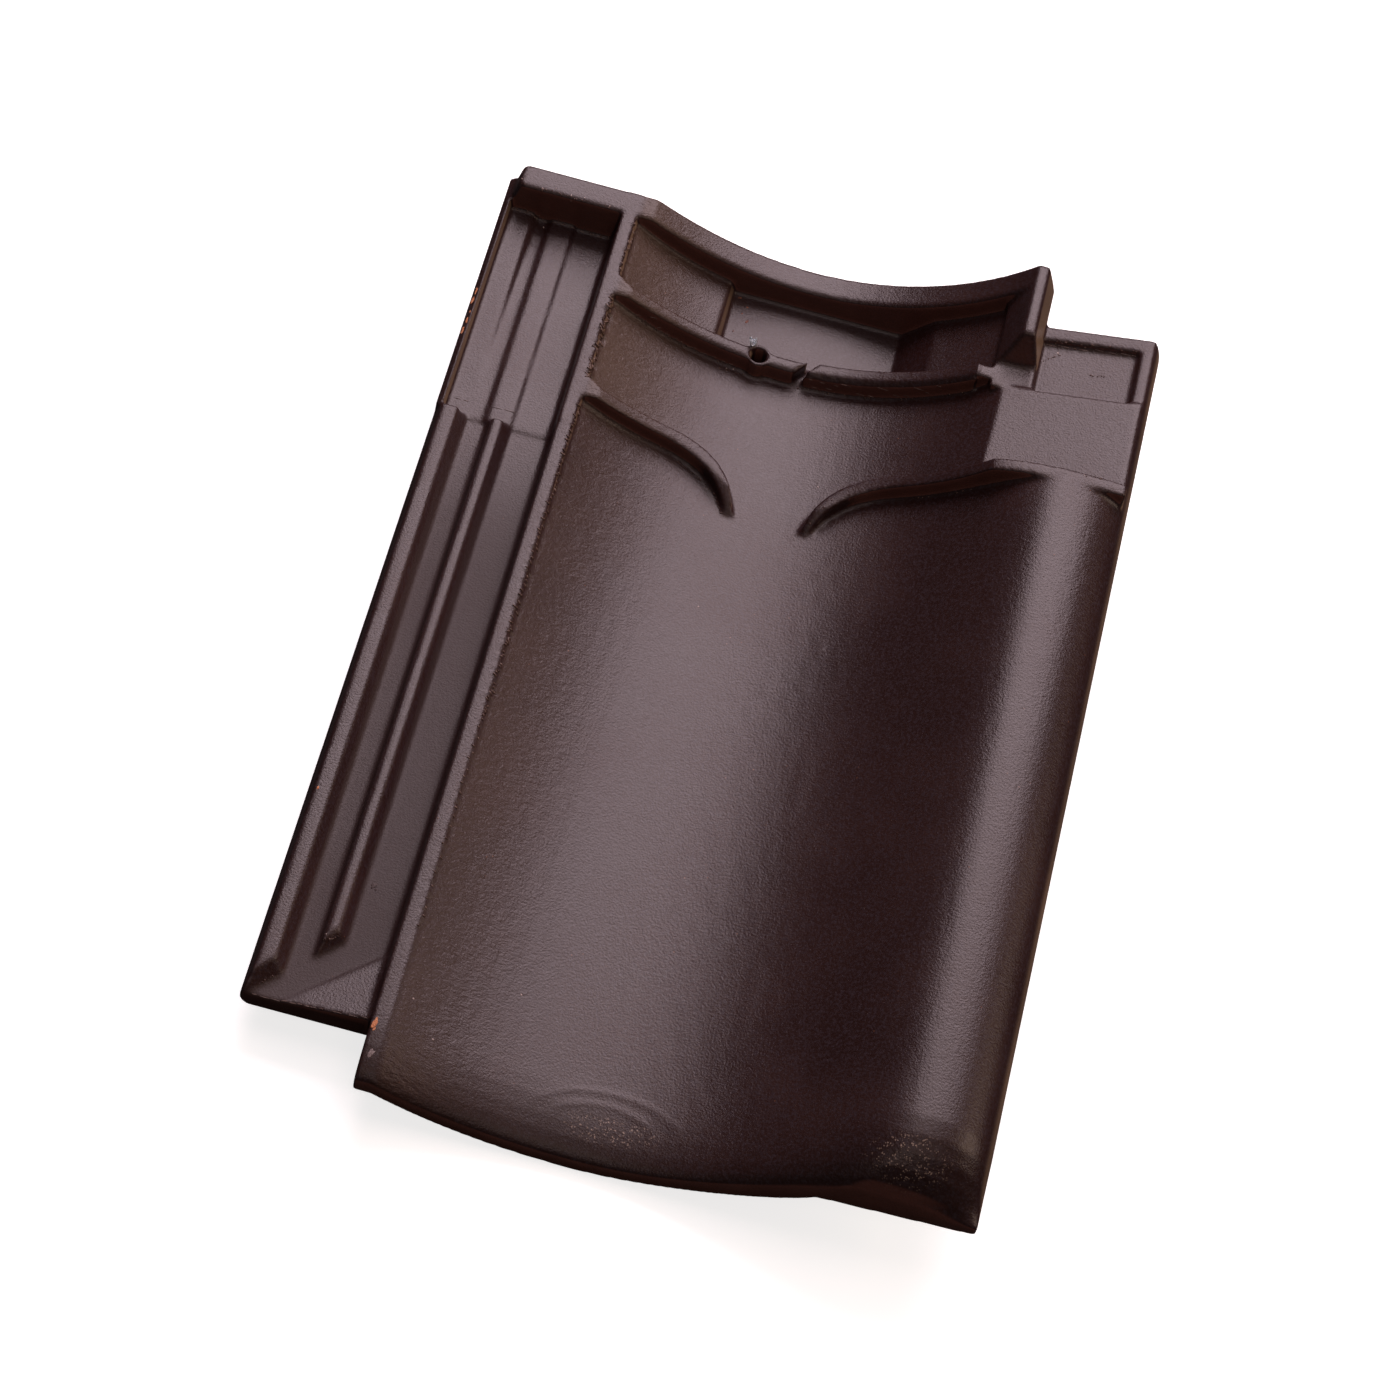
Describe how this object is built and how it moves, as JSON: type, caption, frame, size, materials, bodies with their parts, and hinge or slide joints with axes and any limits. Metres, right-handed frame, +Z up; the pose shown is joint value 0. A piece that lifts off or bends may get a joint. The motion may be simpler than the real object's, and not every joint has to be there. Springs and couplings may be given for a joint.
{
  "type": "roof tile",
  "caption": "Interlocking clay roof tile with a curved pan, a closed roll, a ribbed side lock, head ribs that carry the tile above, a batten nib and a nail hole.",
  "frame": {"origin": "bottom centre of the tile's box, on the floor that its foot and its nib rest on", "axes": "+X from the side lock to the roll, +Y from the foot to the head, +Z up"},
  "size_m": [0.256, 0.3972, 0.075],
  "materials": {
    "clay": "dark brown matt slip with a slight sheen"
  },
  "bodies": {
    "root": {"roof_tile": "clay"}
  },
  "joints": []
}
